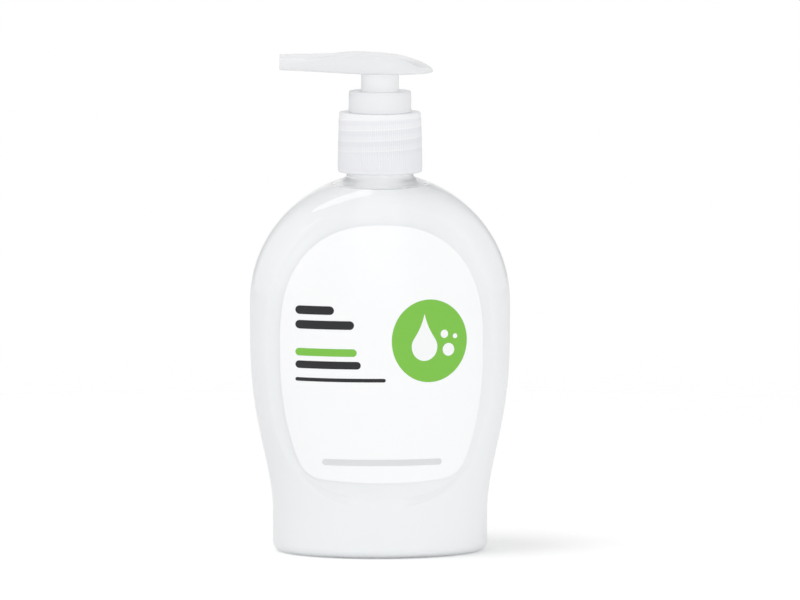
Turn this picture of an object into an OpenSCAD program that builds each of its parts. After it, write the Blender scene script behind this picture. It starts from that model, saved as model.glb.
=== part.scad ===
// Hand soap bottle with a lock-down pump, in millimetres.
// Z is up, the front label faces -Y and the spout points to -X.
// The origin is on the surface that the bottle stands on, below the neck axis.

/* [Bottle body] */
// Full width of the body at its widest
body_w = 78.8; // [74:0.1:86]
// Full depth of the body at its deepest
body_d = 45.6; // [44:0.1:52]
// Full width of the foot
foot_w = 65.2; // [60:0.1:70]
// Full depth of the foot
foot_d = 41; // [38:0.1:43]
// Height at which the foot starts to widen
foot_z = 12.6; // [10:0.1:15]
// Height at which the body reaches its full width
waist_z = 69.4; // [62:0.1:72]
// Height at which the shoulder starts to round in
shoulder_z = 76.2; // [70:0.1:80]
// Height at which the shoulder meets the neck
neck_root_z = 114; // [110:0.1:120]
// Thickness of the body wall
wall = 0.8; // [0.5:0.05:1.2]
// Thickness of the wall where the shoulder meets the neck
root_wall = 1.7; // [1.3:0.05:2]
// Radius of the rounded bottom edge
heel_r = 3; // [2:0.1:4]
// Height of the pushed-up middle of the base
pushup_h = 2.5; // [1:0.1:4]
// Depth of the shallow panels on the front and the back
panel_depth = 0.7; // [0.4:0.05:1]

// Height of the panels' lower edge at its middle
crease_z = 16.8; // [14:0.1:20]

/* [Neck] */
// Radius of the neck below and between its threads
neck_r = 10; // [9.6:0.05:10.3]
// Radius over the crests of the neck thread
thread_r = 10.95; // [10.7:0.05:11.1]
// Radius of the bore through the neck
neck_bore_r = 8.2; // [8.1:0.05:8.5]
// Height of the neck above the shoulder
neck_h = 16.2; // [14:0.1:20]

/* [Soap] */
// Height of the soap's surface
soap_z = 110.5; // [88:0.5:111]

/* [Front label] */
// Widest projected half-width of the label
label_half_w = 30.6; // [28:0.1:31]
// Height of the label's widest line
label_z = 66; // [62:0.5:70]
// Height of the arched part above the widest line
label_arch_h = 35; // [30:0.5:37]
// Length of the tapered part below the widest line
label_drop_h = 42.8; // [38:0.2:46]
// How much each side tapers in towards the bottom
label_taper = 8.3; // [6:0.1:10]
// Size of the rounded bottom corners
label_corner = 5; // [3:0.5:7]
// How far the bottom edge bows down
label_bow = 1.4; // [0.5:0.1:2.5]
// Thickness of the label film
label_t = 0.12; // [0.08:0.01:0.2]

/* [Label print] */
// Radius of the round field
disc_r = 12.5; // [9:0.1:13]
// Width of the round field over its height, seen from the front on the curved film
disc_squeeze = 0.91; // [0.85:0.01:1]
// Sideways place of the round field
disc_x = 14.2; // [12:0.1:16]
// Height of the round field above the label's widest line
disc_rise = 0.4; // [-4:0.1:4]
// Left end of the bars
bars_x = -26; // [-27:0.1:-24]
// Pitch of the two heavy bars above the label's widest line
heavy_pitch = 4.4; // [4:0.1:5.5]
// Thickness of the heavy bars
heavy_h = 2.6; // [2:0.1:3.2]
// Length of the longer heavy bar
heavy_len = 17.5; // [14:0.5:20]
// Thickness of the middle bars, of which one is green
middle_h = 2.3; // [1.8:0.1:2.8]
// Length of the lower middle bar
middle_len = 19.5; // [16:0.5:22]
// Thickness of the thin bar
thin_h = 1.1; // [0.8:0.1:1.6]
// Length of the thin bar
thin_len = 27; // [22:0.5:28]
// Length of the foot bar
foot_bar_len = 36; // [28:0.5:38]
// Thickness of the foot bar
foot_bar_h = 1.9; // [1.4:0.1:2.4]
// Height of the foot bar above the label's bottom edge
foot_bar_rise = 6.3; // [5:0.1:9]
// Thickness of the ink fields
print_t = 0.06; // [0.04:0.01:0.1]

/* [Collar] */
// Outer radius of the collar at its lower rim
collar_r = 12.9; // [12.8:0.05:14]
// How much narrower the collar's radius is at the top
collar_draft = 0.45; // [0.2:0.05:0.8]
// Height of the collar
collar_h = 18.1; // [17:0.1:18.3]
// Thickness of the collar's top
collar_top_t = 1.05; // [0.8:0.05:1.5]
// Number of grip ribs
rib_count = 120; // [60:2:150]
// Depth of the grip ribs
rib_depth = 0.2; // [0.1:0.02:0.35]

/* [Locking nut] */
// Outer radius of the locking nut
nut_r = 9.5; // [9.4:0.05:10.2]
// Height of the locking nut
nut_h = 6.35; // [6:0.05:8]
// Wall of the cup that guides the sleeve
cup_wall = 0.95; // [0.7:0.05:1]
// Depth of the cup below the nut's top
cup_reach = 11; // [10.8:0.1:12]
// Thickness of the cup's floor
cup_floor_t = 1.1; // [0.8:0.1:1.4]

/* [Pump chamber] */
// Thickness of the neck gasket
gasket_t = 1; // [0.6:0.1:1.5]
// Radius of the flange that sits on the gasket
flange_r = 10.6; // [10.2:0.05:10.8]
// Thickness of that flange
flange_t = 1.4; // [1:0.1:2]
// Length of the plug that fills the neck below the flange
plug_len = 20.5; // [16:0.1:20.6]
// Wall of the hub above the flange
hub_wall = 1.1; // [0.8:0.05:1.15]
// Height of the hub above the flange
hub_h = 3.2; // [2.5:0.1:4]
// Radius of the piston's bore
chamber_r = 6.5; // [6.2:0.05:6.6]
// Wall of the pump chamber
chamber_wall = 0.9; // [0.7:0.05:1]
// Radius of the inlet valve's cage
cage_r = 3.6; // [3.2:0.05:4]
// Height of the inlet valve's cage
cage_h = 5.8; // [4:0.1:8]
// Radius of the bore below the inlet valve
inlet_r = 1.5; // [1.2:0.05:1.65]
// Length of the bore below the inlet valve
inlet_len = 3.1; // [2:0.1:5]
// Length of the dip tube's socket
socket_len = 8; // [6:0.1:10]
// Wall of the dip tube's socket
socket_wall = 1; // [0.8:0.05:1.2]

/* [Pump inner parts] */
// Travel of the pump head from locked down to fully up
stroke = 14; // [10:0.1:14]
// Height of the piston seal
seal_h = 6; // [5:0.1:7]
// Radius of the stem
stem_r = 3.2; // [3:0.05:3.4]
// Wall of the stem
stem_wall = 1.2; // [1:0.05:1.4]
// Thickness of the stem's foot
stem_foot_t = 1.5; // [1:0.1:2]
// Radius of the stem's foot
stem_foot_r = 5; // [4.6:0.1:5.4]
// Length of the return spring when locked down
spring_len = 11; // [9:0.1:14]
// Radius of the return spring to the middle of its wire
spring_r = 4.3; // [4.1:0.05:4.5]
// Thickness of the spring wire
spring_wire = 0.8; // [0.6:0.05:0.9]
// Number of turns of the spring
spring_turns = 6; // [4:1:8]
// Thickness of the spring seat
spring_seat_t = 0.8; // [0.6:0.1:1.2]
// Radius of the inlet ball
inlet_ball_r = 2.4; // [2.3:0.05:2.6]
// Radius of the outlet ball
outlet_ball_r = 1.5; // [1.3:0.05:1.6]
// Radius of the dip tube
tube_r = 3; // [2.6:0.05:3.2]
// Wall of the dip tube
tube_wall = 0.8; // [0.6:0.05:1]
// Gap between the dip tube's end and the bottle's floor
tube_floor_gap = 1.5; // [1:0.1:4]

/* [Pump head] */
// Radius of the threaded sleeve below the head
sleeve_r = 5.7; // [5.5:0.05:5.75]
// Length of that sleeve
sleeve_len = 14.4; // [12:0.1:14.6]
// Length of sleeve that shows above the nut when locked down
sleeve_show = 5.45; // [4:0.05:6]
// Reach of the spout from the pump's axis
spout_reach = 30.3; // [26:0.1:34]
// Reach of the tail from the pump's axis
tail_reach = 15.9; // [14:0.1:18]
// Height of the head at its ridge
head_h = 5.95; // [5.8:0.05:7]
// Half-width of the finger rest
rest_half_w = 10.2; // [9:0.1:11.5]
// Half-width of the spout
spout_half_w = 3.4; // [3:0.1:4.2]
// Height of the spout at its tip
spout_h = 4.6; // [4.2:0.05:4.8]
// Radius of the bore through the spout
spout_bore_r = 1.3; // [1:0.05:1.4]
// Wall of the hollow head
head_wall = 1.1; // [0.9:0.05:1.3]

/* [Clearances] */
// Radial gap of a running or snap fit
fit_gap = 0.05; // [0.02:0.01:0.08]
// Radial gap where parts only pass each other
pass_gap = 0.3; // [0.25:0.05:0.35]
// Gap between flat faces that turn or bear on each other
face_gap = 0.05; // [0.02:0.01:0.1]
// Gap between the soap and the bottle's inner wall
soap_gap = 0.15; // [0.12:0.01:0.2]
// Gap between the label and the bottle's panel
label_gap = 0.25; // [0.22:0.01:0.35]
// Gap between the ink fields and the label
print_gap = 0.06; // [0.05:0.01:0.1]

/* [Hidden] */
$fn = 64;

// Points round each ring of the bottle and of the soap
ring_points = 44;
// Share of the foot's half-width that the standing ring starts at
stand_share = 0.86;
// Softness of the fillet between the shoulder and the neck
fillet_soft = 1.2;
// How much of the widening lies in the lower part of the sides
rise_power = 1.45;
// Power of the arched top of the label
arch_power = 2.4;
// Power of the label's side taper
taper_power = 2.6;
// Power of the panel's squarer lower end
panel_power = 10;
// Size of the panel against the label, inside and outside its sloping edge
panel_in = 1.06;
panel_out = 1.16;
panel_mid = (panel_in + panel_out) / 2;
// How fast the panel's lower edge rises away from its middle
crease_bow = 0.0105;

half_w = body_w / 2;
half_d = body_d / 2;
foot_half_w = foot_w / 2;
foot_half_d = foot_d / 2;

// Heights up the neck and the pump, each from the one below it
neck_top_z = neck_root_z + neck_h;
flange_z = neck_top_z + gasket_t;
flange_top_z = flange_z + flange_t;
collar_ceiling_z = flange_top_z + face_gap;
collar_top_z = collar_ceiling_z + collar_top_t;
collar_z = collar_top_z - collar_h;
hub_top_z = flange_top_z + hub_h;
plug_z = flange_z - plug_len;
nut_z = collar_top_z + face_gap;
nut_top_z = nut_z + nut_h;
cup_z = nut_top_z - cup_reach;
head_z = nut_top_z + sleeve_show;
head_top_z = head_z + head_h;
sleeve_z = head_z - sleeve_len;

// Heights down the pump chamber, each from the one above it
stroke_stop_gap = 0.7;
seal_z = cup_z - stroke_stop_gap - stroke - seal_h;
stem_foot_z = seal_z - face_gap - stem_foot_t;
spring_z = stem_foot_z - face_gap - spring_len;
chamber_floor_z = spring_z - face_gap - spring_seat_t - face_gap;
cage_z = chamber_floor_z - cage_h;
inlet_z = cage_z - (cage_r - inlet_r);
tube_top_z = inlet_z - inlet_len;
socket_z = tube_top_z - socket_len;
tube_end_z = pushup_h + wall + tube_floor_gap;

// Radii of the nested pump parts
nut_bore_r = sleeve_r + pass_gap;
cup_r = nut_bore_r + cup_wall;
hub_bore_r = cup_r + fit_gap;
hub_r = hub_bore_r + hub_wall;
housing_r = neck_bore_r - pass_gap;
plug_cone_h = 1;
chamber_out_r = chamber_r + chamber_wall;
socket_out_r = tube_r + fit_gap + socket_wall;
stem_bore_r = stem_r - stem_wall;

// Heights inside the head
outlet_seat_r = 1.15;
spout_axis_z = head_top_z - 2.7;
stem_top_z = spout_axis_z - 1.9;
outlet_ball_z = stem_top_z + sqrt(pow(outlet_ball_r, 2) - pow(outlet_seat_r, 2)) + face_gap;
outlet_top_z = outlet_ball_z + outlet_ball_r + pass_gap;
boss_top_z = head_top_z - 0.9 * head_wall;

// A smooth step from 0 to 1
function step01(t) = let (u = min(1, max(0, t))) u * u * (3 - 2 * u);

// The larger of two values, with a soft change between them
function soft_max(a, b, soft) = (a + b + sqrt(pow(a - b, 2) + soft * soft)) / 2;

// Points on an arc in the plane, from angle a0 to a1 in n steps
function arc(centre, r, a0, a1, n) =
    [for (i = [0:n]) let (a = a0 + (a1 - a0) * i / n) centre + r * [cos(a), sin(a)]];

// Half-size of the body's outline at height z, for its width or its depth
function side_half(full, foot, z) =
    let (t = min(1, max(0, (z - foot_z) / (waist_z - foot_z))))
    foot + (full - foot) * step01(1 - pow(1 - t, rise_power));

// Half-size of the shoulder, an arc that comes in to the neck's radius at its top
function shoulder_half(full, neck, top, z) =
    full * sqrt(max(0, 1 - (1 - pow(neck / full, 2)) * pow((z - shoulder_z) / (top - shoulder_z), 2)));

// Half-size of the body at height z, inset by the given depth
function body_half(full, foot, inset, neck, z) =
    z < shoulder_z ? side_half(full, foot, z) - inset
    : soft_max(shoulder_half(full - inset, neck, neck_root_z - inset, z), neck, fillet_soft * (z - shoulder_z)
        / (neck_root_z - shoulder_z));

// Inset of an inner surface at height z: the wall thickens from the shoulder up to the neck
function root_inset(inset) = inset > 0 ? inset + root_wall - wall : 0;
function inset_at(z, inset) =
    inset + (root_inset(inset) - inset) * step01((z - shoulder_z) / (neck_root_z - shoulder_z));
function neck_at(inset) = inset > 0 ? neck_bore_r + 0.3 : neck_r;
function width_at(z, inset = 0) = body_half(half_w, foot_half_w, inset_at(z, inset), neck_at(inset), z);
function depth_at(z, inset = 0) = body_half(half_d, foot_half_d, inset_at(z, inset), neck_at(inset), z);

// 1 in the middle of the front or back panel, 0 outside it
function label_side(z) = label_half_w - label_taper * pow(max(0, (label_z - z) / label_drop_h), taper_power);
function panel_drop(x) = (label_z - crease_z - crease_bow * x * x) / panel_mid;
function panel_reach(x, z) =
    z >= label_z
    ? pow(pow(abs(x) / label_half_w, arch_power) + pow((z - label_z) / label_arch_h, arch_power), 1 / arch_power)
    : pow(pow(abs(x) / label_side(z), panel_power) + pow((label_z - z) / panel_drop(x), panel_power),
        1 / panel_power);
function panel_mask(x, z) = 1 - step01((panel_reach(x, z) - panel_in) / (panel_out - panel_in));

// A ring of the body: an ellipse, pressed in by the panels
function body_ring(hw, hd, z) =
    [for (j = [0:ring_points - 1])
        let (a = 360 * j / ring_points, x = hw * cos(a), y = hd * sin(a))
        [x, y - sign(y) * min(abs(y), panel_depth * panel_mask(x, z)), z]];

// Distance of the front panel's surface from the XZ plane
function front_at(x, z) = depth_at(z) * sqrt(max(0, 1 - pow(x / width_at(z), 2))) - panel_depth;

// Rings of the base, from its middle out to the heel
function floor_lift(s) = pushup_h * pow(1 - pow(min(1, s / stand_share), 2), 2);
function base_rings(inset) = concat(
    [for (s = [0.3, 0.52, 0.7, stand_share])
        body_ring(s * (foot_half_w - inset), s * (foot_half_d - inset), floor_lift(s) + inset)],
    [for (a = [0:30:90])
        let (in = heel_r - (heel_r - inset) * sin(a))
        body_ring(foot_half_w - in, foot_half_d - in, heel_r - (heel_r - inset) * cos(a))]);

// Heights of the rings up the sides, and of those round the shoulder
side_heights = [for (i = [1:14]) heel_r + (shoulder_z - heel_r) * i / 14];
function shoulder_heights(inset) =
    [for (i = [1:11]) shoulder_z + (neck_root_z - root_inset(inset) - shoulder_z) * sin(90 * i / 11.6)];
function wall_rings(inset, heights) = [for (z = heights) body_ring(width_at(z, inset), depth_at(z, inset), z)];

function round_ring(r, z) =
    [for (j = [0:ring_points - 1]) let (a = 360 * j / ring_points) [r * cos(a), r * sin(a), z]];

function reversed(list) = [for (i = [len(list) - 1:-1:0]) list[i]];
function flat(list) = [for (part = list) for (item = part) item];

// A closed solid through rings of equal length, with a point in the middle of each end
module loft(rings, first, last) {
    n = len(rings[0]);
    m = len(rings);
    sides = [for (i = [0:m - 2]) for (j = [0:n - 1])
        let (k = (j + 1) % n)
        each [[i * n + j, (i + 1) * n + j, (i + 1) * n + k], [i * n + j, (i + 1) * n + k, i * n + k]]];
    start = [for (j = [0:n - 1]) [m * n, j, (j + 1) % n]];
    end = [for (j = [0:n - 1]) [m * n + 1, (m - 1) * n + (j + 1) % n, (m - 1) * n + j]];
    polyhedron(points = concat(flat(rings), [first, last]), faces = concat(sides, start, end));
}

// Height where the lofted body ends inside the wall of the neck
join_z = neck_root_z + 1.9;

module bottle() color([0.93, 0.95, 0.96, 0.35]) {
    outer = concat(base_rings(0), wall_rings(0, side_heights), wall_rings(0, shoulder_heights(0)),
        wall_rings(0, [neck_root_z, neck_root_z + 0.6, neck_root_z + 1.3]), [round_ring(neck_r - 0.25, join_z)]);
    inner = concat([round_ring(neck_bore_r + 0.3, join_z)], reversed(wall_rings(wall, shoulder_heights(wall))),
        reversed(wall_rings(wall, side_heights)), reversed(base_rings(wall)));
    loft(concat(outer, inner), [0, 0, pushup_h], [0, 0, pushup_h + wall]);
    rotate_extrude()
        polygon(concat([[neck_bore_r, neck_root_z - 0.9], [neck_r, neck_root_z - 0.9], [neck_r, neck_top_z - 0.5]],
            arc([neck_r - 0.5, neck_top_z - 0.5], 0.5, 30, 90, 2), [[neck_bore_r, neck_top_z]]));
}

// Soap with a clear channel round the pump, so that the pump lifts straight out
module liquid_soap() color([0.95, 0.96, 0.96]) {
    inset = wall + soap_gap;
    levels = [for (z = concat(side_heights, shoulder_heights(inset))) if (z < soap_z - 1) z];
    rings = concat(base_rings(inset), wall_rings(inset, levels), wall_rings(inset, [soap_z]));
    difference() {
        loft(rings, [0, 0, pushup_h + inset], [0, 0, soap_z]);
        translate([0, 0, tube_end_z - 0.6])
            cylinder(r = tube_r + pass_gap, h = soap_z);
        translate([0, 0, socket_z - pass_gap])
            cylinder(r = socket_out_r + pass_gap, h = soap_z);
        translate([0, 0, inlet_z - pass_gap])
            cylinder(r = max(chamber_out_r, cage_r + chamber_wall) + pass_gap, h = soap_z);
        translate([0, 0, plug_z - plug_cone_h - pass_gap])
            cylinder(r = housing_r + pass_gap, h = soap_z);
    }
}

// Right half of the label's outline, from the top middle down to the bottom middle
corner_z = label_z - label_drop_h + label_bow + label_corner;
function bottom_z(x) = label_z - label_drop_h + label_bow * pow(x / (label_half_w - label_taper), 2);
label_half_outline =
    let (foot_x = label_side(corner_z - label_corner) - label_corner,
         p0 = [label_side(corner_z), corner_z],
         p1 = [label_side(corner_z - label_corner), bottom_z(foot_x + label_corner)],
         p2 = [foot_x, bottom_z(foot_x)])
    concat(
        [for (a = [90:-9:0]) [label_half_w * pow(max(0, cos(a)), 2 / arch_power),
            label_z + label_arch_h * pow(max(0, sin(a)), 2 / arch_power)]],
        [for (i = [1:6]) let (z = label_z - (label_z - corner_z) * i / 6) [label_side(z), z]],
        [for (t = [0.33, 0.67]) pow(1 - t, 2) * p0 + 2 * t * (1 - t) * p1 + t * t * p2],
        [for (i = [0:4]) let (x = foot_x * (1 - i / 4)) [x, bottom_z(x)]]);
label_outline = concat(label_half_outline,
    [for (i = [len(label_half_outline) - 2:-1:1]) [-label_half_outline[i][0], label_half_outline[i][1]]]);

// A thin sheet that follows the front panel inside an outline drawn in the XZ plane
module front_sheet(outline, centre, gap, thickness, shares) {
    function on_panel(p, out) = [p[0], -front_at(p[0], p[1]) - out, p[1]];
    function sheet_ring(share, out) = [for (p = outline) on_panel(centre + share * (p - centre), out)];
    back = [for (s = shares) sheet_ring(s, gap)];
    front = [for (s = reversed(shares)) sheet_ring(s, gap + thickness)];
    loft(concat(back, front), on_panel(centre, gap), on_panel(centre, gap + thickness));
}

module front_label() color([0.97, 0.975, 0.985])
    front_sheet(label_outline, [0, label_z - 4], label_gap, label_t, [0.25, 0.45, 0.64, 0.82, 1]);

// Ink fields on the label: they lie just outside the film
ink_gap = label_gap + label_t + print_gap;
module ink(outline, centre, lift = 0, shares = [0.5, 1])
    front_sheet(outline, centre, ink_gap + lift, print_t, shares);

module ink_round(centre, r, lift = 0, steps = 24)
    ink([for (i = [0:steps - 1]) centre + r * [disc_squeeze * cos(360 * i / steps), -sin(360 * i / steps)]],
        centre, lift,
        r > 4 ? [0.35, 0.7, 1] : [1]);

// A bar with round ends, from its left end, its middle height, its length and its thickness
module ink_bar(x, z, length, height) {
    r = height / 2;
    inner = length - height;
    steps = ceil(inner / 4);
    angles = [12, 50];
    sections = concat(
        [for (a = angles) [x + r - r * cos(a), r * sin(a)]],
        [for (i = [0:steps]) [x + r + inner * i / steps, r]],
        [for (a = reversed(angles)) [x + length - r + r * cos(a), r * sin(a)]]);
    rings = [for (p = sections)
        [for (q = [[0, -1], [0, 1], [1, 1], [1, -1]])
            let (h = z + q[1] * p[1]) [p[0], -front_at(p[0], h) - ink_gap - q[0] * print_t, h]]];
    function middle(x_end) = [x_end, -front_at(x_end, z) - ink_gap - print_t / 2, z];
    loft([for (ring = rings) reversed(ring)], middle(sections[0][0]), middle(sections[len(sections) - 1][0]));
}

disc_centre = [disc_x, label_z + disc_rise];
module label_disc() color([0.49, 0.77, 0.27]) ink_round(disc_centre, disc_r, 0, 40);

// A plain drop with three bubbles beside it
drop_r = disc_r * 0.34;
emblem_lift = print_t + print_gap;
module label_emblem() color([0.97, 0.98, 0.97]) {
    centre = disc_centre + disc_r * [-0.12, -0.14];
    flank = [for (t = [0.25, 0.5, 0.75]) [t * cos(30) - 0.12 * sin(180 * t), 2.35 + t * (sin(30) - 2.35)]];
    drop = concat([[0, 2.35]], flank, arc([0, 0], 1, 30, -210, 12), [for (p = reversed(flank)) [-p[0], p[1]]]);
    ink([for (p = drop) centre + drop_r * [disc_squeeze * p[0], p[1]]], centre, emblem_lift);
    ink_round(disc_centre + disc_r * [0.46, -0.22], disc_r * 0.155, emblem_lift, 16);
    ink_round(disc_centre + disc_r * [0.36, 0.16], disc_r * 0.1, emblem_lift, 12);
    ink_round(disc_centre + disc_r * [0.62, 0.1], disc_r * 0.06, emblem_lift, 12);
}

// Heights of the bars: two heavy ones, two middle ones and a thin one, from the top down
heavy_low_z = label_z + 2 * heavy_h;
green_bar_z = heavy_low_z - 1.9 * heavy_pitch;
middle_low_z = green_bar_z - 1.65 * middle_h;
thin_bar_z = middle_low_z - 1.95 * middle_h;
foot_bar_z = label_z - label_drop_h + foot_bar_rise;

module label_dark_bars() color([0.13, 0.14, 0.16]) {
    ink_bar(bars_x, heavy_low_z + heavy_pitch, heavy_len * 0.66, heavy_h);
    ink_bar(bars_x, heavy_low_z, heavy_len, heavy_h);
    ink_bar(bars_x, middle_low_z, middle_len, middle_h);
    ink_bar(bars_x, thin_bar_z, thin_len, thin_h);
}

module label_green_bar() color([0.49, 0.77, 0.27]) ink_bar(bars_x, green_bar_z, middle_len * 0.94, middle_h);

module label_grey_bar() color([0.72, 0.73, 0.75]) ink_bar(-foot_bar_len / 2, foot_bar_z, foot_bar_len, foot_bar_h);

// Outline of the collar's grip, a ring of fine ribs
module rib_ring(r)
    polygon([for (i = [0:2 * rib_count - 1])
        let (a = 180 * i / rib_count, d = i % 2 == 0 ? r : r - rib_depth) d * [cos(a), sin(a)]]);

collar_bore_r = thread_r + 0.35;
rim_h = 0.9;
crown_h = 1.4;
collar_top_r = collar_r - collar_draft;
module collar() color([0.93, 0.94, 0.95, 0.85]) {
    grip_h = collar_h - rim_h - crown_h;
    difference() {
        union() {
            translate([0, 0, collar_z + rim_h])
                linear_extrude(height = grip_h, scale = collar_top_r / (collar_r - 0.05)) rib_ring(collar_r - 0.05);
            rotate_extrude()
                polygon([[0, collar_z], [collar_r - 0.45, collar_z], [collar_r - 0.1, collar_z + 0.35],
                    [collar_r - 0.1, collar_z + rim_h + 0.05], [0, collar_z + rim_h + 0.05]]);
            rotate_extrude()
                polygon(concat([[0, collar_top_z - crown_h - 0.05], [collar_top_r - 0.1, collar_top_z - crown_h - 0.05]],
                    arc([collar_top_r - 0.55, collar_top_z - 0.45], 0.45, 0, 90, 4), [[0, collar_top_z]]));
        }
        translate([0, 0, collar_z - 1])
            cylinder(r = collar_bore_r, h = collar_ceiling_z - collar_z + 1);
        translate([0, 0, collar_z])
            cylinder(r = hub_r + pass_gap, h = collar_h + 1);
    }
}

// Nut that the head's sleeve screws into, with the cup that guides the stem
module locking_nut() color([0.93, 0.94, 0.95, 0.85]) {
    pocket_top_z = nut_top_z - 1.3;
    pocket_r = hub_r + fit_gap;
    rotate_extrude()
        polygon(concat(
            [[stem_r + fit_gap, cup_z], [cup_r, cup_z], [cup_r, pocket_top_z], [pocket_r, pocket_top_z],
             [pocket_r, nut_z], [nut_r, nut_z]],
            arc([nut_r - 0.6, nut_top_z - 0.5], 0.5, 0, 90, 4),
            [[nut_bore_r + 0.4, nut_top_z], [nut_bore_r, nut_top_z - 0.4], [nut_bore_r, cup_z + cup_floor_t],
             [stem_r + fit_gap, cup_z + cup_floor_t]]));
}

module neck_gasket() color([0.88, 0.89, 0.9])
    translate([0, 0, neck_top_z])
        difference() {
            cylinder(r = neck_r + 0.3, h = gasket_t);
            translate([0, 0, -1]) cylinder(r = neck_bore_r, h = gasket_t + 2);
        }

// Housing turned as one profile: flange and hub, chamber, valve cage, inlet and tube socket
module pump_housing() color([0.93, 0.94, 0.95]) {
    cage_out_r = cage_r + chamber_wall;
    socket_bore_r = tube_r + fit_gap;
    rotate_extrude()
        polygon([
            [hub_bore_r, hub_top_z], [hub_r, hub_top_z], [hub_r, flange_top_z], [flange_r, flange_top_z],
            [flange_r, flange_z], [housing_r, flange_z], [housing_r, plug_z], [chamber_out_r, plug_z - plug_cone_h],
            [chamber_out_r, chamber_floor_z], [cage_out_r, chamber_floor_z - 3], [cage_out_r, cage_z],
            [socket_out_r, inlet_z], [socket_out_r, socket_z], [socket_bore_r, socket_z],
            [socket_bore_r, tube_top_z + face_gap], [inlet_r, tube_top_z + face_gap], [inlet_r, inlet_z],
            [cage_r, cage_z], [cage_r, chamber_floor_z], [chamber_r, chamber_floor_z],
            [chamber_r, cup_z - face_gap], [hub_bore_r, cup_z - face_gap]]);
}

module dip_tube() color([0.94, 0.95, 0.95])
    difference() {
        translate([0, 0, tube_end_z])
            cylinder(r = tube_r, h = tube_top_z - tube_end_z);
        translate([0, 0, tube_end_z - 1])
            cylinder(r = tube_r - tube_wall, h = tube_top_z - tube_end_z + 2);
        translate([-tube_r, 0, tube_end_z])
            rotate([0, 35, 0]) cube([4 * tube_r, 3 * tube_r, 2 * tube_r], center = true);
    }

// The ball rests on the cone below the cage
module inlet_ball() color([0.8, 0.82, 0.84])
    translate([0, 0, inlet_z - inlet_r + (inlet_ball_r + face_gap) * sqrt(2)])
        sphere(r = inlet_ball_r);

// Disc with open slots that keeps the ball in and carries the spring
module spring_seat() color([0.94, 0.95, 0.95]) {
    slot_r = cage_r - 0.7;
    translate([0, 0, chamber_floor_z + face_gap])
        difference() {
            cylinder(r = chamber_r - pass_gap, h = spring_seat_t);
            for (a = [0:90:270])
                rotate([0, 0, a])
                    intersection() {
                        translate([0.5, 0.5, -1]) cube([slot_r, slot_r, spring_seat_t + 2]);
                        translate([0, 0, -1]) cylinder(r = slot_r, h = spring_seat_t + 2);
                    }
        }
}

// Share of the spring's height reached at share t of its wire, with closed end turns
function spring_rise(t, close) =
    t < close ? t * 0.35
    : t > 1 - close ? 1 - (1 - t) * 0.35
    : 0.35 * close + (t - close) * (1 - 0.7 * close) / (1 - 2 * close);

// Coil spring swept along a helix
module return_spring() color([0.78, 0.79, 0.81]) {
    steps = spring_turns * 16;
    wire = spring_wire / 2;
    rise = spring_len - spring_wire;
    rings = [for (i = [0:steps])
        let (t = i / steps, a = 360 * spring_turns * t, out = [cos(a), sin(a), 0],
             mid = spring_r * out + [0, 0, spring_z + wire + rise * spring_rise(t, 1 / spring_turns)])
        [for (j = [0:5]) mid + wire * (cos(60 * j) * out + sin(60 * j) * [0, 0, 1])]];
    ends = [spring_r * [1, 0, 0] + [0, 0, spring_z + wire],
            spring_r * [1, 0, 0] + [0, 0, spring_z + wire + rise]];
    loft([for (ring = rings) reversed(ring)], ends[0], ends[1]);
}

// Seal with an upper and a lower lip that wipe the chamber's bore
module piston_seal() color([0.95, 0.95, 0.95]) {
    lip_r = chamber_r - fit_gap;
    bore = stem_r + fit_gap;
    web_z = seal_z + seal_h / 2;
    rotate_extrude()
        polygon([[bore, seal_z], [bore + 1, seal_z], [bore + 1.2, web_z - 0.5], [lip_r - 0.9, web_z - 0.9],
            [lip_r - 0.7, seal_z], [lip_r, seal_z], [lip_r, seal_z + 0.9], [lip_r - 0.35, web_z],
            [lip_r, seal_z + seal_h - 0.9], [lip_r, seal_z + seal_h], [lip_r - 0.7, seal_z + seal_h],
            [lip_r - 0.9, web_z + 0.9], [bore + 1.2, web_z + 0.5], [bore + 1, seal_z + seal_h],
            [bore, seal_z + seal_h]]);
}

// Hollow stem with a foot that lifts the seal and two side ports above it
module stem() color([0.94, 0.95, 0.95])
    difference() {
        union() {
            translate([0, 0, stem_foot_z]) cylinder(r = stem_r, h = stem_top_z - stem_foot_z);
            translate([0, 0, stem_foot_z]) cylinder(r = stem_foot_r, h = stem_foot_t);
        }
        translate([0, 0, stem_foot_z - 1]) cylinder(r = outlet_seat_r, h = stem_top_z - stem_foot_z + 2);
        translate([0, 0, stem_foot_z - 1]) cylinder(r = stem_bore_r, h = stem_top_z - stem_foot_z - 0.5);
        for (a = [0:90:270])
            rotate([0, 0, a + 45]) translate([stem_foot_r, 0, stem_foot_z]) cube([2.4, 1.6, 8 * stem_foot_t],
                center = true);
    }

module outlet_ball() color([0.8, 0.82, 0.84])
    translate([0, 0, outlet_ball_z]) sphere(r = outlet_ball_r);

// Outline of the head along X: ridge, underside, edge between top and side, and half-width
tail_power = 1.6;
spout_top_drop = 0.3;
tail_tip_rise = 0.75;
tail_tip_t = 0.45;
belly_x = 8;
spout_under_rise = head_h - spout_top_drop - spout_h;
function ridge_z(x) =
    x < -6 ? head_top_z - spout_top_drop * pow((-6 - x) / (spout_reach - 6), 2)
    : x < 0 ? head_top_z
    : head_z + tail_tip_rise + (head_h - tail_tip_rise)
        * pow(max(0, 1 - pow(x / tail_reach, tail_power)), 1 / tail_power);
function under_z(x) =
    x < belly_x ? head_z + spout_under_rise * pow((belly_x - x) / (belly_x + spout_reach), 2)
    : head_z + (tail_tip_rise - tail_tip_t) * pow((x - belly_x) / (tail_reach - belly_x), 4);
function edge_drop(x) = 2.3 * step01((-9 - x) / 20) + 0.75 * exp(-pow((x - 2.5) / 4.5, 2))
    + 1.5 * step01((x - 5) / 7) * (1 - step01((x - 12) / 4));
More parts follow.
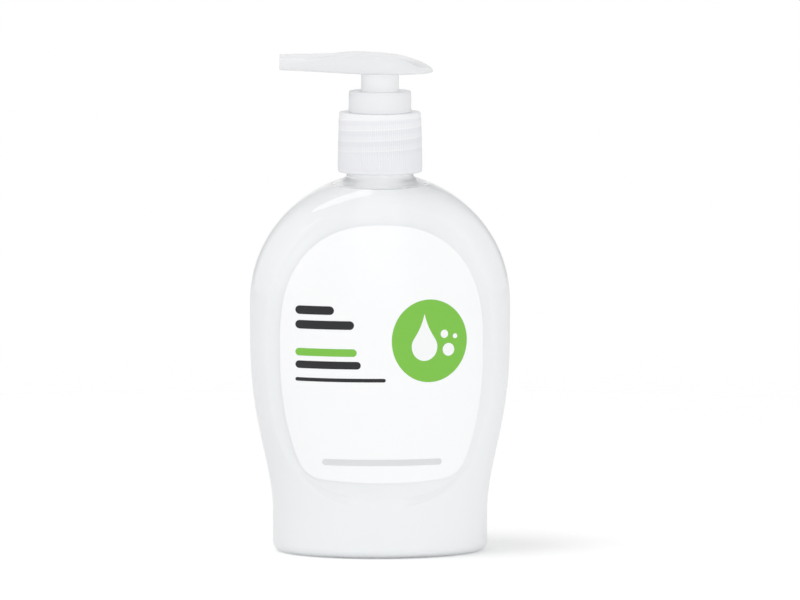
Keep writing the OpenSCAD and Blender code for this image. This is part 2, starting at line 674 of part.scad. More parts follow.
function half_at(x) =
    x < 2 ? spout_half_w + (rest_half_w - spout_half_w) * step01((x + spout_reach - 4.3) / (spout_reach - 2.3))
    : rest_half_w * pow(max(0, 1 - pow((x - 2) / (tail_reach + 0.15 - 2), 2.2)), 1 / 2.2);

// Section of the head at x, from the near bottom corner over the top to the far one
function head_section(x, inset) =
    let (b = half_at(x) - inset, low = under_z(x) - (inset > 0 ? 2 : 0),
         top = ridge_z(x) - inset, edge = max(low + 0.35, top - edge_drop(x)),
         r = inset > 0 ? 0.1 : min(0.8, 0.3 * (edge - low), 0.4 * b))
    concat(
        [[x, -b + r, low], [x, -b + 0.3 * r, low + 0.3 * r], [x, -b, low + r], [x, -b, edge]],
        [for (y = [-0.9, -0.7, -0.45, -0.2, 0.2, 0.45, 0.7, 0.9]) [x, b * y, edge + (top - edge) * (1 - y * y)]],
        [[x, b, edge], [x, b, low + r], [x, b - 0.3 * r, low + 0.3 * r], [x, b - r, low]]);

module head_loft(places, inset) {
    first = places[0];
    last = places[len(places) - 1];
    loft([for (x = places) reversed(head_section(x, inset))],
        [first, 0, (under_z(first) + ridge_z(first)) / 2], [last, 0, (under_z(last) + ridge_z(last)) / 2]);
}

// Hollow finger rest with the spout's tube, the boss and the threaded sleeve
module pump_head() color([0.93, 0.94, 0.95, 0.9]) {
    outer_places = concat(
        [for (i = [0:12]) -spout_reach + (spout_reach - 2) * i / 12],
        [for (x = [0, 2, 4]) x],
        [for (i = [1:11]) 4 + (tail_reach - 4) * sin(90 * i / 11)]);
    hollow_from = -spout_reach + 9;
    hollow_to = tail_reach - 3;
    hollow_places = [for (i = [0:10]) hollow_from + (hollow_to - hollow_from) * i / 10];
    tube_out_r = spout_bore_r + 0.9;
    difference() {
        union() {
            difference() {
                head_loft(outer_places, 0);
                head_loft(hollow_places, head_wall);
            }
            translate([0, 0, sleeve_z]) cylinder(r = sleeve_r, h = boss_top_z - sleeve_z);
            translate([hollow_from - 1, 0, spout_axis_z])
                rotate([0, 90, 0]) cylinder(r = tube_out_r, h = -hollow_from + 1);
        }
        translate([0, 0, sleeve_z - 1]) cylinder(r = sleeve_r - 1, h = head_z - sleeve_z);
        translate([0, 0, sleeve_z - 1]) cylinder(r = stem_r + 0.02, h = stem_top_z + face_gap - sleeve_z + 1);
        translate([0, 0, stem_top_z - 0.5]) cylinder(r = outlet_ball_r + pass_gap, h = outlet_top_z - stem_top_z + 0.5);
        translate([-spout_reach - 1, 0, spout_axis_z])
            rotate([0, 90, 0]) cylinder(r = spout_bore_r, h = spout_reach + 1);
    }
}

bottle();
liquid_soap();
front_label();
label_disc();
label_emblem();
label_dark_bars();
label_green_bar();
label_grey_bar();
collar();
locking_nut();
neck_gasket();
pump_housing();
dip_tube();
inlet_ball();
spring_seat();
return_spring();
piston_seal();
stem();
outlet_ball();
pump_head();
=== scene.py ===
"""Hand soap bottle with a lock-down pump: meshes, materials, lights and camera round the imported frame.

Lengths in the shape functions are millimetres, as in the part's source, and MM turns them into metres.
"""
import math

import bpy
import numpy as np
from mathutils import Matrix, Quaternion, Vector


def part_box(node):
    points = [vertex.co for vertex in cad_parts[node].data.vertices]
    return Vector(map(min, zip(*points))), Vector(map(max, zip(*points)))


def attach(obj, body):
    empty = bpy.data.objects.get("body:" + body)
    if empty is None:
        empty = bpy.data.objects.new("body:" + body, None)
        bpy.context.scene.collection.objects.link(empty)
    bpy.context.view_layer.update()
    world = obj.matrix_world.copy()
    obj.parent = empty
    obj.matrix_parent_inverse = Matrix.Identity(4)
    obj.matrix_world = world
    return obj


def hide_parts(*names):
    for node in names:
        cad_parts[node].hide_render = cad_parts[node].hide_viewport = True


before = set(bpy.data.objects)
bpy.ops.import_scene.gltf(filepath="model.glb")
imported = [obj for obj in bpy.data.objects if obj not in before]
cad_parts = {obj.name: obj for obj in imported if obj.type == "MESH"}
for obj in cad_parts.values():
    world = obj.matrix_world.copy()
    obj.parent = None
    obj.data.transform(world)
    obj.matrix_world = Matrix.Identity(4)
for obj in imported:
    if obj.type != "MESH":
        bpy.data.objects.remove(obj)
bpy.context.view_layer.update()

MM = 0.001
SCENE = bpy.context.scene


def span(node, axis):
    """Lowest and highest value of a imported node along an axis, in millimetres."""
    low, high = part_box(node)
    return low[axis] / MM, high[axis] / MM


# Sizes of the body
HALF_W = span("bottle", 0)[1]
HALF_D = 22.8
FOOT_HALF_W = 32.6
FOOT_HALF_D = 20.5
FOOT_Z = 12.6
WAIST_Z = 69.4
RISE_POWER = 1.45
SHOULDER_Z = 76.2
NECK_ROOT_Z = 114.0
WALL = 0.8
ROOT_WALL = 1.7
HEEL_R = 3.0
PUSHUP_H = 2.5
PANEL_DEPTH = 0.7
STAND_SHARE = 0.86
WALL_POINTS = 160
SIDE_STEPS = 72
FILLET_SOFT = 1.2

# Sizes of the neck and its thread
NECK_R = 10.0
NECK_BORE_R = 8.2
NECK_TOP_Z = span("bottle", 2)[1]
THREAD_CREST = 0.92
THREAD_PITCH = 3.175
THREAD_FROM_Z = 119.6
THREAD_TO_Z = 128.9
THREAD_FRONT_Z = 128.2

# Sizes of the label and its print
LABEL_HALF_W = 30.6
LABEL_Z = 66.0
LABEL_ARCH_H = 35.0
LABEL_DROP_H = 42.8
LABEL_TAPER = 8.3
LABEL_CORNER = 5.0
LABEL_BOW = 1.4
LABEL_T = 0.06
ARCH_POWER = 2.4
TAPER_POWER = 2.6
PANEL_POWER = 10
PANEL_IN = 1.08
PANEL_OUT = 1.14
PANEL_MID = (PANEL_IN + PANEL_OUT) / 2
CREASE_Z = 16.8
CREASE_BOW = 0.0105
FILM_GAP = 0.025
INK_GAP = 0.012
INK_T = 0.02
INK_OUT = FILM_GAP + LABEL_T + INK_GAP
DISC_X = 14.2
DISC_Z = LABEL_Z + 0.4
DISC_R = 12.5
DISC_SQUEEZE = 0.91
DROP_R = 0.34 * DISC_R
DROP_X = DISC_X - 0.12 * DISC_R
DROP_Z = DISC_Z - 0.14 * DISC_R

# Bubbles: place and radius, as shares of the disc's radius
BUBBLES = ((0.46, -0.22, 0.155), (0.36, 0.16, 0.1), (0.62, 0.1, 0.06))

# Bars: left end, middle over LABEL_Z, length, height
DARK_BARS = ((-26, 9.6, 11.5, 2.6), (-26, 5.2, 17.5, 2.6), (-26, -6.9, 19.5, 2.3), (-26, -11.4, 27, 1.1))
GREEN_BAR = (-26, -3.1, 18.3, 2.3)
GREY_BAR = (-18, -36.5, 36, 1.9)

# Sizes of the soap and of the channel that the pump leaves in it
SOAP_INSET = WALL - 0.03
PLUG_CHANNEL_R = 8.1
PLUG_LOW_Z = 109.3
CHAMBER_CHANNEL_R = 7.7
CHAMBER_LOW_Z = 86.6
SOCKET_CHANNEL_R = 4.35
TUBE_CHANNEL_R = 3.3

# Rim of the soap's surface: share of the way in, drop below the wall's line
SOAP_RIM = ((0.08, 0.2), (0.2, 0.35), (0.45, 0.4), (0.8, 0.38))

# Sizes of the pump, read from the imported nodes
COLLAR_Z, COLLAR_TOP_Z = span("collar", 2)
COLLAR_R = 12.9
COLLAR_DRAFT = 0.45
COLLAR_BORE_R = 11.3
COLLAR_HOLE_R = 8.45
COLLAR_CEILING_Z = COLLAR_TOP_Z - 1.05
COLLAR_RIM_H = 0.9
COLLAR_CROWN_H = 1.5
COLLAR_THREAD_H = 0.34
COLLAR_THREAD_FROM_Z = 118.0
COLLAR_THREAD_TO_Z = 130.0
RIB_COUNT = 120
RIB_DEPTH = 0.14
RIB_FADE = 0.5
NUT_Z = COLLAR_TOP_Z + 0.05
NUT_TOP_Z = span("locking_nut", 2)[1]
CUP_Z = span("locking_nut", 2)[0]
NUT_R = 9.5
CUP_R = 6.93
GUIDE_R = 3.27
SLEEVE_Z, HEAD_TOP_Z = span("pump_head", 2)
SLEEVE_R = 5.7
HEAD_H = 5.95
HEAD_Z = HEAD_TOP_Z - HEAD_H
SPOUT_REACH = -span("pump_head", 0)[0]
TAIL_REACH = span("pump_head", 0)[1]
STEM_TOP_Z = span("stem", 2)[1]
SPOUT_HALF_W = 3.4
REST_HALF_W = 10.2
SPOUT_H = 4.6
SPOUT_TOP_DROP = 0.3
TAIL_TIP_RISE = 0.75
TAIL_TIP_T = 0.45
BELLY_X = 8.0
TAIL_POWER = 1.6
HEAD_WALL = 1.1
SPOUT_BORE_R = 1.3
SPOUT_AXIS_Z = HEAD_TOP_Z - 2.7
SOCKET_R = 3.22
VALVE_R = 1.8

# Looks of the plastics: tints, and marks as (position, level)
PET_CLEAR = (0.97, 0.975, 0.98)
PET_HAZY = (0.86, 0.865, 0.88)
HAZE_Z = 109.0
NECK_CLEAR = 0.55
PP_LIGHT = (0.97, 0.975, 0.98)
HEAD_TINT = (0.845, 0.85, 0.865)
# Painted light: a paler tint for the sleeve, which lifts the shade cast on it by the head above
SLEEVE_PAINTED_LIGHT = (0.945, 0.95, 0.955)
# Collar tints: the dark end serves the thread's band and the painted shade low on the collar, the pale end the
# painted light at its crown
COLLAR_DARK = (0.84, 0.845, 0.875)
COLLAR_PALE = (0.95, 0.955, 0.97)
BAND_Z = 129.4
BAND_PLAIN = 0.6
BAND_MARKS = ((0.0, BAND_PLAIN), (0.3, BAND_PLAIN), (0.5, 0.25), (0.84, 0.25), (0.91, 1.0), (0.97, 1.0),
              (1.0, BAND_PLAIN))
BAND_REACH = ((0.3, 0.0), (0.4, 1.0), (0.9, 1.0), (0.93, 0.0))
# Painted shade by height on the collar: darker towards its bottom, pale at its crown
COLLAR_SHADE_MARKS = ((0.1, 0.2), (0.5, 0.3), (0.9, 0.7), (0.93, 0.95))

# Stage, light and camera, in metres
SKY_AT_HORIZON = 1.01
SKY_AT_ZENITH = 0.54
FLAG_LEVEL = 0.35
FLAG_MARKS = ((0.2, 1.0), (0.33, FLAG_LEVEL), (0.55, FLAG_LEVEL), (0.75, 1.0))
FLOOR_HALF = 3.0
FLOOR_ALBEDO = 0.98
FLOOR_SEEN = 1.17
FLOOR_FADE_FROM = 0.16
FLOOR_FADE_TO = 0.5
LAMPS = (   # name, place, aim, size, watts, twist in degrees, seen in gloss
    ("key", (-0.34, -0.14, 1.5), (0, 0, 0.1), (0.45, 0.45), 2.7, 0, False),
    ("streak", (-0.60, -0.24, 1.4), (0, 0, 0.1), (1.15, 0.28), 1.8, 32, True),
    ("low_streak", (-1.05, -0.46, 1.05), (0, 0, 0.1), (0.5, 0.1), 0.12, 32, True),
    ("fill", (0.40, -1.26, 0.22), (0, 0, 0.04), (0.9, 0.38), 2.6, 0, False))
VIEW_DISTANCE = 2.0
VIEW_HEIGHT = 0.30
VIEW_TURN_DEG = -2.0
LENS_MM = 298.8
SENSOR_MM = 36.0
AIM_RIGHT = 0.00606
AIM_HEIGHT = 0.07645


def step01(t):
    """A smooth step from 0 to 1."""
    u = np.clip(t, 0.0, 1.0)
    return u * u * (3 - 2 * u)


def soft_max(a, b, soft):
    """The larger of two values, with a soft change between them."""
    return (a + b + np.sqrt((a - b) ** 2 + soft * soft)) / 2


# Shape of the body

def body_half(full, foot, inset, neck, z):
    """Half-size of the body at height z, for its width or its depth."""
    t = min(1.0, max(0.0, (z - FOOT_Z) / (WAIST_Z - FOOT_Z)))
    side = foot + (full - foot) * step01(1 - (1 - t) ** RISE_POWER) - inset
    full = full - inset
    top = NECK_ROOT_Z - inset
    rise = max(0.0, z - SHOULDER_Z)
    arch = full * math.sqrt(max(0.0, 1 - (1 - (neck / full) ** 2) * (rise / (top - SHOULDER_Z)) ** 2))
    soft = FILLET_SOFT * rise / (NECK_ROOT_Z - SHOULDER_Z)
    return side if z < SHOULDER_Z else soft_max(arch, neck, soft)


def inset_at(z, inset):
    """The wall thickens from the shoulder up to the root of the neck."""
    rise = step01((z - SHOULDER_Z) / (NECK_ROOT_Z - SHOULDER_Z))
    return inset + (ROOT_WALL - WALL) * rise if inset > 0 else 0.0


def width_at(z, inset=0.0):
    """Half-width of the body's outside at height z, or of its inside with the wall as inset."""
    return body_half(HALF_W, FOOT_HALF_W, inset_at(z, inset), NECK_BORE_R if inset > 0 else NECK_R, z)


def depth_at(z, inset=0.0):
    """Half-depth of the body, as width_at."""
    return body_half(HALF_D, FOOT_HALF_D, inset_at(z, inset), NECK_BORE_R if inset > 0 else NECK_R, z)


def label_side(z):
    """Half-width of the label at height z, below its widest line."""
    return LABEL_HALF_W - LABEL_TAPER * np.maximum(0.0, (LABEL_Z - z) / LABEL_DROP_H) ** TAPER_POWER


def panel_mask(x, z):
    """1 in the middle of the front or back panel, 0 outside it."""
    x = np.abs(x)
    up = ((x / LABEL_HALF_W) ** ARCH_POWER
          + (np.maximum(0.0, z - LABEL_Z) / LABEL_ARCH_H) ** ARCH_POWER) ** (1 / ARCH_POWER)
    drop = (LABEL_Z - CREASE_Z - CREASE_BOW * x * x) / PANEL_MID
    down = ((x / label_side(z)) ** PANEL_POWER
            + (np.maximum(0.0, LABEL_Z - z) / drop) ** PANEL_POWER) ** (1 / PANEL_POWER)
    reach = np.where(z >= LABEL_Z, up, down)
    return 1 - step01((reach - PANEL_IN) / (PANEL_OUT - PANEL_IN))


def front_at(x, z):
    """Distance of the front panel's surface from the XZ plane."""
    w = np.array([width_at(h) for h in np.ravel(z)]).reshape(np.shape(z))
    d = np.array([depth_at(h) for h in np.ravel(z)]).reshape(np.shape(z))
    return d * np.sqrt(np.maximum(0.0, 1 - (x / w) ** 2)) - PANEL_DEPTH


def body_ring(hw, hd, z, n):
    """A ring of the body: an ellipse, pressed in by the panels."""
    a = np.linspace(0, 2 * math.pi, n, endpoint=False)
    x, y = hw * np.cos(a), hd * np.sin(a)
    y = y - np.sign(y) * np.minimum(np.abs(y), PANEL_DEPTH * panel_mask(x, np.full(n, z)))
    return np.stack([x, y, np.full(n, z)], axis=1)


def base_rings(inset, n):
    """Rings of the base, from its middle out to the heel."""
    rings = []
    for s in np.linspace(0.08, STAND_SHARE, 14):
        lift = PUSHUP_H * (1 - (s / STAND_SHARE) ** 2) ** 2
        rings.append(body_ring(s * (FOOT_HALF_W - inset), s * (FOOT_HALF_D - inset), lift + inset, n))
    for a in np.radians(np.linspace(0, 90, 10)):
        inward = HEEL_R - (HEEL_R - inset) * math.sin(a)
        z = HEEL_R - (HEEL_R - inset) * math.cos(a)
        rings.append(body_ring(FOOT_HALF_W - inward, FOOT_HALF_D - inward, z, n))
    return rings


def wall_rings(inset, heights, n):
    """Rings of the body's wall at some heights."""
    return [body_ring(width_at(z, inset), depth_at(z, inset), z, n) for z in heights]


def side_heights():
    """Heights of the rings from the heel to the shoulder, shared by the wall and the soap."""
    return np.linspace(HEEL_R, SHOULDER_Z, SIDE_STEPS + 1)[1:]


def shoulder_heights(inset, count):
    """Heights of the rings from the shoulder to the root of the neck, closer together towards it."""
    top = NECK_ROOT_Z - (ROOT_WALL if inset > 0 else 0.0)
    return SHOULDER_Z + (top - SHOULDER_Z) * np.sin(np.radians(np.linspace(0, 90, count + 1)[1:]))


def round_ring(r, z, n):
    """A ring round the axis; r may change round it."""
    a = np.linspace(0, 2 * math.pi, n, endpoint=False)
    return np.stack([r * np.cos(a), r * np.sin(a), np.full(n, z)], axis=1)


def turned(profile, n):
    """Rings of a turned form, from its profile of (radius, height)."""
    return [round_ring(r, z, n) for r, z in profile]


# Mesh building

def new_piece(name, points, faces, sharp_deg=40):
    """A smooth-shaded mesh object from points in millimetres."""
    mesh = bpy.data.meshes.new(name)
    mesh.from_pydata((np.asarray(points) * MM).tolist(), [], faces)
    mesh.validate()
    mesh.shade_smooth()
    mesh.set_sharp_from_angle(angle=math.radians(sharp_deg))
    piece = bpy.data.objects.new(name, mesh)
    SCENE.collection.objects.link(piece)
    return piece


def grid_faces(m, n, crossed):
    """Quads between m rings of n points each, wound so that they face outwards on rings that go up.

    Crossed quads split along their other diagonal.
    """
    faces = []
    for i in range(m - 1):
        low, high = i * n, (i + 1) * n
        for j in range(n):
            k = (j + 1) % n
            quad = (low + j, low + k, high + k, high + j)
            faces.append(quad[1:] + quad[:1] if crossed else quad)
    return faces


def loft(name, rings, first=None, last=None, sharp_deg=40, crossed=False):
    """A closed solid through rings of equal length. Ends close on a point, or on each other without one."""
    m, n = len(rings), len(rings[0])
    points = np.concatenate(rings)
    faces = grid_faces(m, n, crossed)
    if first is None:
        low = (m - 1) * n
        faces += [(low + j, low + (j + 1) % n, (j + 1) % n, j) for j in range(n)]
    else:
        points = np.concatenate([points, [first, last]])
        faces += [(m * n, (j + 1) % n, j) for j in range(n)]
        faces += [(m * n + 1, (m - 1) * n + j, (m - 1) * n + (j + 1) % n) for j in range(n)]
    return new_piece(name, points, faces, sharp_deg)


def arc(cx, cz, r, a0, a1, steps):
    """Points of an arc in a profile, from angle a0 to a1 in degrees."""
    return [(cx + r * math.cos(math.radians(a)), cz + r * math.sin(math.radians(a)))
            for a in np.linspace(a0, a1, steps + 1)]


def lathe(name, profile, n=128, sharp_deg=35):
    """A turned solid from a closed profile of (radius, height), counted upwards on its outer side."""
    return loft(name, turned(profile, n), sharp_deg=sharp_deg)


def combine(base, tool, operation):
    """Joins or cuts one closed mesh with another, and deletes the tool."""
    modifier = base.modifiers.new("combine", "BOOLEAN")
    modifier.solver = "MANIFOLD"
    modifier.operation = operation
    modifier.object = tool
    depsgraph = bpy.context.evaluated_depsgraph_get()
    mesh = bpy.data.meshes.new_from_object(base.evaluated_get(depsgraph))
    base.modifiers.clear()
    base.data = mesh
    bpy.data.objects.remove(tool)


def finish_shading(piece, sharp_deg):
    """Smooth shading that stops at sharp edges."""
    piece.data.shade_smooth()
    piece.data.set_sharp_from_angle(angle=math.radians(sharp_deg))


def dress(piece, body, slot, material, *nodes):
    """Puts a piece on its body, in place of the nodes that it stands for."""
    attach(piece, body)
    if nodes:
        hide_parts(*nodes)
    piece.data.materials.clear()
    piece.data.materials.append(material)


# Material building

class Nodes:
    """A node tree under construction."""

    def __init__(self, tree):
        self.tree = tree

    def node(self, kind, **values):
        """A new node. A value goes to the socket of its name, or else to the property."""
        made = self.tree.nodes.new(kind)
        for key, value in values.items():
            if key in made.inputs:
                made.inputs[key].default_value = value
            else:
                setattr(made, key, value)
        return made

    def join(self, output, target):
        self.tree.links.new(output, target)

    def put(self, value, target):
        """Feeds a socket from an output or with a plain number."""
        if isinstance(value, (int, float)):
            target.default_value = value
        else:
            self.join(value, target)

    def calc(self, operation, *values):
        """A Math node over outputs or plain numbers."""
        made = self.node("ShaderNodeMath", operation=operation)
        for value, target in zip(values, made.inputs):
            self.put(value, target)
        return made.outputs["Value"]

    def split(self, vector):
        """The coordinates of a vector, by axis."""
        made = self.node("ShaderNodeSeparateXYZ")
        self.join(vector, made.inputs["Vector"])
        return made.outputs

    def ramp(self, value, marks):
        """A level that follows a value through (position, level) marks."""
        made = self.node("ShaderNodeValToRGB")
        elements = made.color_ramp.elements
        while len(elements) < len(marks):
            elements.new(0.5)
        for element, (position, level) in zip(elements, marks):
            element.position = position
            element.color = (level, level, level, 1)
        self.join(value, made.inputs["Fac"])
        return made.outputs["Color"]

    def ranged(self, value, low, high, start=0.0, end=1.0, smooth=False):
        """Low where a value is at its start and high where it is at its end."""
        made = self.node("ShaderNodeMapRange", interpolation_type="SMOOTHSTEP" if smooth else "LINEAR")
        limits = {"From Min": start, "From Max": end, "To Min": low, "To Max": high}
        for key, limit in limits.items():
            self.put(limit, made.inputs[key])
        self.join(value, made.inputs["Value"])
        return made.outputs["Result"]


class Shader(Nodes):
    """A material under construction: its Principled shader and the nodes that feed it."""

    def __init__(self, name, colour, roughness, **sockets):
        self.material = bpy.data.materials.new(name)
        self.material.use_nodes = True
        super().__init__(self.material.node_tree)
        self.main = self.tree.nodes["Principled BSDF"]
        self.main.inputs["Base Color"].default_value = (*colour, 1)
        self.main.inputs["Roughness"].default_value = roughness
        for key, value in sockets.items():
            self.main.inputs[key.replace("_", " ")].default_value = value
        self.place = self.tree.nodes.new("ShaderNodeTexCoord").outputs["Object"]

    def noise(self, per_metre, detail=2.0, stretch=(1, 1, 1)):
        """Noise in the object's own space, with about per_metre features to the metre."""
        mapping = self.node("ShaderNodeMapping", Scale=stretch)
        self.join(self.place, mapping.inputs["Vector"])
        made = self.node("ShaderNodeTexNoise", Scale=per_metre, Detail=detail)
        self.join(mapping.outputs["Vector"], made.inputs["Vector"])
        return made.outputs["Fac"]

    def rough_from(self, value, low, high):
        """Roughness between low and high."""
        self.join(self.ranged(value, low, high), self.main.inputs["Roughness"])

    def tint_from(self, value, colour_a, colour_b):
        """Base colour between two colours."""
        mix = self.node("ShaderNodeMix", data_type="RGBA")
        mix.inputs["A"].default_value = (*colour_a, 1)
        mix.inputs["B"].default_value = (*colour_b, 1)
        self.join(value, mix.inputs["Factor"])
        self.join(mix.outputs["Result"], self.main.inputs["Base Color"])

    def bump_from(self, value, depth, strength=0.4):
        """Bump whose full height is depth, in metres."""
        bump = self.node("ShaderNodeBump", Strength=strength, Distance=depth)
        self.join(value, bump.inputs["Height"])
        self.join(bump.outputs["Normal"], self.main.inputs["Normal"])

    def blend(self, factor, first, second):
        """Mixes two shaders into the material's surface."""
        mix = self.node("ShaderNodeMixShader")
        for output, target in zip((factor, first, second), mix.inputs):
            self.join(output, target)
        self.join(mix.outputs["Shader"], self.tree.nodes["Material Output"].inputs["Surface"])

    def pass_light(self, tint, share=1.0):
        """Lets a share of the lamps' and the soft light through a wall, which would otherwise stop it."""
        clear = self.node("ShaderNodeBsdfTransparent", Color=(*tint, 1))
        path = self.node("ShaderNodeLightPath").outputs
        either = self.calc("MAXIMUM", path["Is Shadow Ray"], path["Is Diffuse Ray"])
        self.blend(self.calc("MULTIPLY", either, share), self.main.outputs["BSDF"], clear.outputs["BSDF"])


def clear_pet():
    """Blow-moulded clear plastic: even gloss with a faint waviness, and a grey haze in its thick neck."""
    shader = Shader("clear_pet", PET_CLEAR, 0.03, IOR=1.5)
    height = shader.split(shader.place)["Z"]
    clearness = shader.ranged(height, 1.0, NECK_CLEAR, HAZE_Z * MM, NECK_ROOT_Z * MM, smooth=True)
    shader.join(clearness, shader.main.inputs["Transmission Weight"])
    shader.tint_from(shader.ranged(clearness, 1.0, 0.0), PET_CLEAR, PET_HAZY)
    shader.bump_from(shader.noise(60, 1.5, (1, 1, 0.5)), 0.0004, 0.12)
    shader.rough_from(shader.noise(240, 3), 0.015, 0.05)
    shader.pass_light((0.97, 0.975, 0.975))
    return shader.material


def milky_soap():
    """Milky soap with a slow pearly swirl."""
    shader = Shader("milky_soap", (0.92, 0.927, 0.94), 0.5, Specular_IOR_Level=0.1)
    shader.tint_from(shader.noise(28, 3, (1, 1, 0.35)), (0.905, 0.915, 0.93), (0.93, 0.94, 0.95))
    shader.pass_light((0.95, 0.955, 0.96), 0.15)
    return shader.material


def label_film():
    """Smooth white label film with a faint orange-peel."""
    shader = Shader("label_film", (0.965, 0.97, 0.98), 0.32, Coat_Weight=0.25, Coat_Roughness=0.18)
    shader.bump_from(shader.noise(900, 2), 0.00002, 0.25)
    shader.rough_from(shader.noise(150, 2), 0.28, 0.38)
    shader.pass_light((0.97, 0.975, 0.98), 0.7)
    return shader.material


def ink(name, colour, spread=0.05):
    """Printed ink: a flat colour with the fine mottle of its screen."""
    shader = Shader(name, colour, 0.4)
    low = tuple(c * (1 - spread) for c in colour)
    high = tuple(min(1.0, c * (1 + spread)) for c in colour)
    shader.tint_from(shader.noise(3200, 2), low, high)
    shader.bump_from(shader.noise(5000, 1), 0.00001, 0.3)
    return shader.material


def cloudy_pp(name, see_through, colour):
    """Uncoloured polypropylene: cloudy, semi-gloss, with light going through its walls."""
    shader = Shader(name, colour, 0.3, IOR=1.4, Transmission_Weight=see_through)
    shader.pass_light(PP_LIGHT, 0.93)
    shader.bump_from(shader.noise(1400, 2), 0.00002, 0.2)
    shader.rough_from(shader.noise(300, 2), 0.3, 0.4)
    return shader


def natural_pp(name, see_through, colour):
    """Cloudy polypropylene with a slow mottle."""
    shader = cloudy_pp(name, see_through, colour)
    low = tuple(0.985 * c for c in colour)
    high = tuple(min(1, 1.015 * c) for c in colour)
    shader.tint_from(shader.noise(90, 2), low, high)
    return shader.material


def head_pp():
    """The head's polypropylene, painted lighter in the sleeve to lift the shade that the head casts on it."""
    shader = cloudy_pp("head_pp", 0.15, HEAD_TINT)
    height = shader.split(shader.place)["Z"]
    above = shader.ranged(height, 0.0, 1.0, (HEAD_Z - 0.4) * MM, (HEAD_Z + 0.4) * MM, smooth=True)
    # Below the head the sleeve takes the paler tint: painted light against the head's shade
    shader.tint_from(above, SLEEVE_PAINTED_LIGHT, HEAD_TINT)
    return shader.material


def threaded_pp():
    """The collar's polypropylene, in which the thread on its inside shows as a band that winds up, with
    painted shade by height: darker towards the bottom, pale at the crown.
    """
    shader = cloudy_pp("threaded_pp", 0.1, COLLAR_PALE)
    place = shader.split(shader.place)
    turns = shader.calc("DIVIDE", shader.calc("ARCTAN2", place["Y"], place["X"]), 2 * math.pi)
    rise = shader.calc("DIVIDE", shader.calc("SUBTRACT", place["Z"], BAND_Z * MM), THREAD_PITCH * MM)
    phase = shader.calc("FRACT", shader.calc("SUBTRACT", shader.calc("SUBTRACT", rise, turns), 0.25))
    band = shader.calc("SUBTRACT", shader.ramp(phase, BAND_MARKS), BAND_PLAIN)
    height = shader.ranged(place["Z"], 0.0, 1.0, COLLAR_Z * MM, COLLAR_TOP_Z * MM)
    band = shader.calc("MULTIPLY", shader.ramp(height, BAND_REACH), band)
    # The level by height is painted shade, and the thread's band is added to it
    level = shader.calc("ADD", shader.ramp(height, COLLAR_SHADE_MARKS), band)
    shader.tint_from(level, COLLAR_DARK, COLLAR_PALE)
    return shader.material


def pump_pe():
    """Softer uncoloured polyethylene of the seal, the seat and the dip tube."""
    shader = Shader("pump_pe", (0.93, 0.935, 0.94), 0.42)
    shader.tint_from(shader.noise(120, 2), (0.915, 0.92, 0.925), (0.945, 0.95, 0.95))
    shader.bump_from(shader.noise(1800, 2), 0.00002, 0.3)
    return shader.material


def gasket_foam():
    """White sealing washer with the fine cells of its foam."""
    shader = Shader("gasket_foam", (0.86, 0.87, 0.88), 0.7)
    cells = shader.node("ShaderNodeTexVoronoi", Scale=3500.0)
    shader.join(shader.place, cells.inputs["Vector"])
    shader.bump_from(cells.outputs["Distance"], 0.0001, 0.6)
    shader.tint_from(shader.noise(700, 2), (0.83, 0.84, 0.85), (0.88, 0.885, 0.89))
    return shader.material


def spring_steel():
    """Drawn stainless wire with fine lines round its coils."""
    shader = Shader("spring_steel", (0.7, 0.71, 0.73), 0.25, Metallic=1.0)
    shader.rough_from(shader.noise(2500, 3, (1, 1, 6)), 0.16, 0.36)
    shader.bump_from(shader.noise(4000, 2, (1, 1, 6)), 0.00001, 0.3)
    return shader.material


def ball_glass():
    """Polished glass ball with a green-grey cast."""
    shader = Shader("ball_glass", (0.9, 0.94, 0.93), 0.02, IOR=1.5, Transmission_Weight=0.9)
    shader.rough_from(shader.noise(900, 2), 0.01, 0.06)
    return shader.material


# Pieces

def neck_thread(z, n):
    """Height of the thread over the neck's wall round the ring at height z."""
    a = np.linspace(0, 2 * math.pi, n, endpoint=False)
    front = math.radians(270)
    height = np.zeros(n)
    for turn in range(-6, 7):
        crest = THREAD_FRONT_Z + THREAD_PITCH * ((a - front) / (2 * math.pi) + turn)
        fade = step01(crest - THREAD_FROM_Z) * step01(THREAD_TO_Z - crest)
        tooth = 1 - step01((np.abs(z - crest) - 0.3) / 0.62)
        height = np.maximum(height, THREAD_CREST * fade * tooth)
    return height


def make_bottle(material):
    """Body with its panels, heel and pushed-up base, and the neck with its thread, as one closed wall."""
    n = WALL_POINTS
    neck_heights = np.arange(NECK_ROOT_Z + 0.35, NECK_TOP_Z - 0.45, 0.2)
    outer = (base_rings(0.0, n) + wall_rings(0.0, side_heights(), n)
             + wall_rings(0.0, shoulder_heights(0.0, 44), n))
    for z in neck_heights:
        outer.append(round_ring(width_at(z) + neck_thread(z, n), z, n))
    outer += turned(arc(NECK_R - 0.45, NECK_TOP_Z - 0.45, 0.45, 20, 90, 4), n)
    inner = turned(arc(NECK_BORE_R + 0.2, NECK_TOP_Z - 0.2, 0.2, 90, 180, 3), n)
    inner += [round_ring(NECK_BORE_R, z, n) for z in np.linspace(NECK_TOP_Z - 1, NECK_ROOT_Z + 1, 12)]
    inner += wall_rings(WALL, shoulder_heights(WALL, 36)[::-1], n)
    inner += wall_rings(WALL, side_heights()[::-1], n)
    inner += base_rings(WALL, n)[::-1]
    piece = loft("bottle_wall", outer + inner, (0, 0, PUSHUP_H), (0, 0, PUSHUP_H + WALL), 50)
    dress(piece, "bottle", "clear_pet", material, "bottle")


